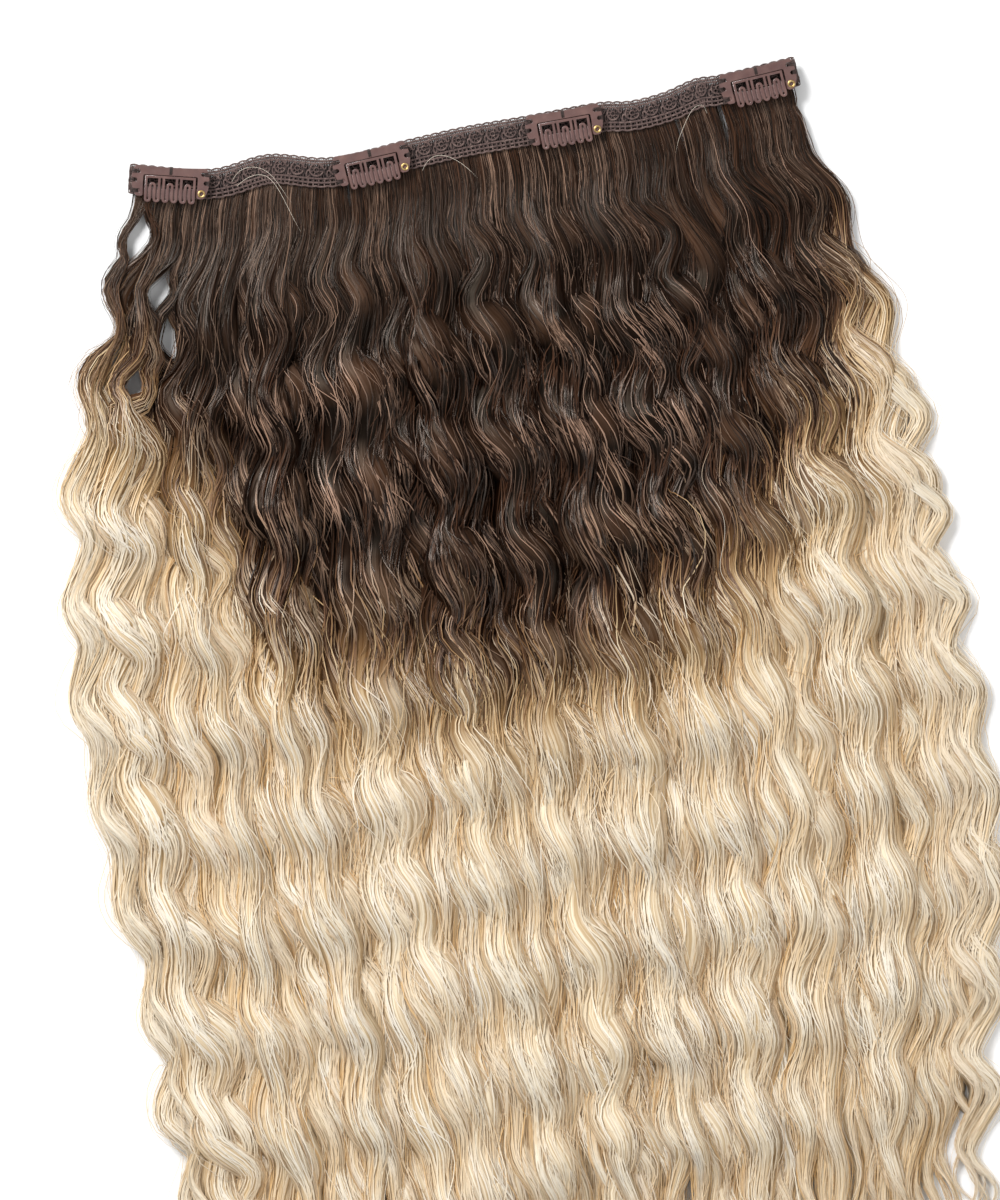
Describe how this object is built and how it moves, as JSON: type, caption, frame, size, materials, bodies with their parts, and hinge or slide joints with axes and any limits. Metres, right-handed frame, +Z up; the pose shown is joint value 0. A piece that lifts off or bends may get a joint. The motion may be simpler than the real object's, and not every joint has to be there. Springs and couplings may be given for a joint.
{
  "type": "clip in hair extension",
  "caption": "Wide clip-in hair weft laid flat: lace band with sewn-on snap clips, and long wavy hair that fades from dark brown roots to pale blond ends.",
  "frame": {"origin": "on the surface that the weft lies on, under the middle of its outline", "axes": "+Y from the hair's tips to the lace band, +X along the band, +Z up, out of the clips' faces"},
  "size_m": [0.3244, 0.469, 0.0167],
  "materials": {
    "lace": "dark brown lace",
    "hair": "hair, dark brown at the root and pale blond from the middle to the tips",
    "clip_paint": "glossy rosy brown enamel",
    "sleeve": "clear, glossy",
    "brass": "polished"
  },
  "bodies": {
    "weft": {"lace_band": "lace", "hair_weft": "hair", "clip_1_frame": "clip_paint", "clip_1_sleeve": "sleeve", "clip_1_eyelet": "brass", "clip_2_frame": "clip_paint", "clip_2_sleeve": "sleeve", "clip_2_eyelet": "brass", "clip_3_frame": "clip_paint", "clip_3_sleeve": "sleeve", "clip_3_eyelet": "brass", "clip_4_frame": "clip_paint", "clip_4_sleeve": "sleeve", "clip_4_eyelet": "brass"},
    "comb_1": {"clip_1_comb": "clip_paint"},
    "comb_2": {"clip_2_comb": "clip_paint"},
    "comb_3": {"clip_3_comb": "clip_paint"},
    "comb_4": {"clip_4_comb": "clip_paint"}
  },
  "joints": [
    {"name": "clip_1_snap", "type": "hinge", "parent": "weft", "child": "comb_1", "pos_m": [-0.09602, 0.22642, 0.0071], "axis": [-0.9768, 0.2143, 0], "range_deg": [0, 35]},
    {"name": "clip_2_snap", "type": "hinge", "parent": "weft", "child": "comb_2", "pos_m": [-0.02525, 0.22179, 0.0071], "axis": [-0.9975, -0.0708, 0], "range_deg": [0, 35]},
    {"name": "clip_3_snap", "type": "hinge", "parent": "weft", "child": "comb_3", "pos_m": [0.04425, 0.22492, 0.0071], "axis": [-0.9997, -0.0258, 0], "range_deg": [0, 35]},
    {"name": "clip_4_snap", "type": "hinge", "parent": "weft", "child": "comb_4", "pos_m": [0.11416, 0.22945, 0.0071], "axis": [-0.9963, -0.0858, 0], "range_deg": [0, 35]}
  ]
}
